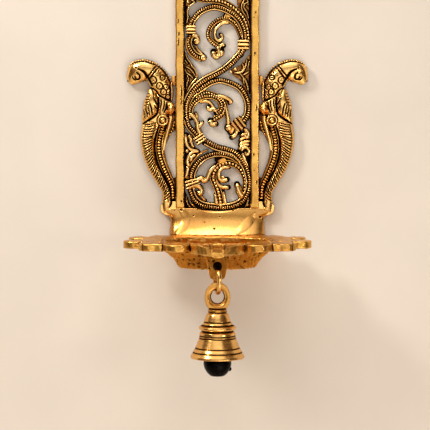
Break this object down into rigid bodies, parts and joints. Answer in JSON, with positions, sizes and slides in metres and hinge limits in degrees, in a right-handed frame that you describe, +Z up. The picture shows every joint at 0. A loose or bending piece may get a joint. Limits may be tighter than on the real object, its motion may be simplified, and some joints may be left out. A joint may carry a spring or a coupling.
{
  "type": "hanging oil lamp",
  "caption": "Wall-hung cast brass oil lamp: openwork scroll panel with two parrots, a lobed oil dish with a wick spout, and a small bell on a ring.",
  "frame": {"origin": "axis of the nail eye at the wall plane", "axes": "+X right as seen from the front, +Y into the wall along the nail, +Z up"},
  "size_m": [0.1252, 0.0977, 0.3324],
  "materials": {
    "antique_brass": "cast relief, bright on the high points and black in the recesses",
    "burnished_brass": "satin rubbed brass with fine scratches and a few casting pits",
    "sand_cast_brass": "rough as cast, brown in the pits",
    "black_lacquer": "smooth black paint with a soft gloss"
  },
  "bodies": {
    "root": {"top_crest": "burnished_brass", "left_rail": "burnished_brass", "right_rail": "burnished_brass", "scroll_top": "antique_brass", "scroll_upper": "antique_brass", "scroll_middle": "antique_brass", "scroll_lower": "antique_brass", "left_parrot": "antique_brass", "right_parrot": "antique_brass", "left_wing": "antique_brass", "right_wing": "antique_brass", "left_tail": "antique_brass", "right_tail": "antique_brass", "back_scoop": "burnished_brass", "dish_rim": "burnished_brass", "dish_bowl": "sand_cast_brass", "wick_spout": "burnished_brass", "bell_lug": "sand_cast_brass"},
    "link": {"ring_link": "burnished_brass"},
    "bell": {"bell_loop": "burnished_brass", "bell_shell": "burnished_brass", "clapper_staple": "sand_cast_brass"},
    "clapper": {"clapper_wire": "sand_cast_brass", "clapper_ball": "black_lacquer"}
  },
  "joints": [
    {"name": "link_swing", "type": "hinge", "parent": "root", "child": "link", "pos_m": [0, -0.08, -0.25355], "axis": [0, 1, 0], "range_deg": [-35, 35]},
    {"name": "bell_swing", "type": "hinge", "parent": "link", "child": "bell", "pos_m": [0, -0.08, -0.26625], "axis": [1, 0, 0], "range_deg": [-35, 35]},
    {"name": "clapper_swing", "type": "hinge", "parent": "bell", "child": "clapper", "pos_m": [0, -0.08, -0.28865], "axis": [0, 1, 0], "range_deg": [-13, 13]}
  ]
}
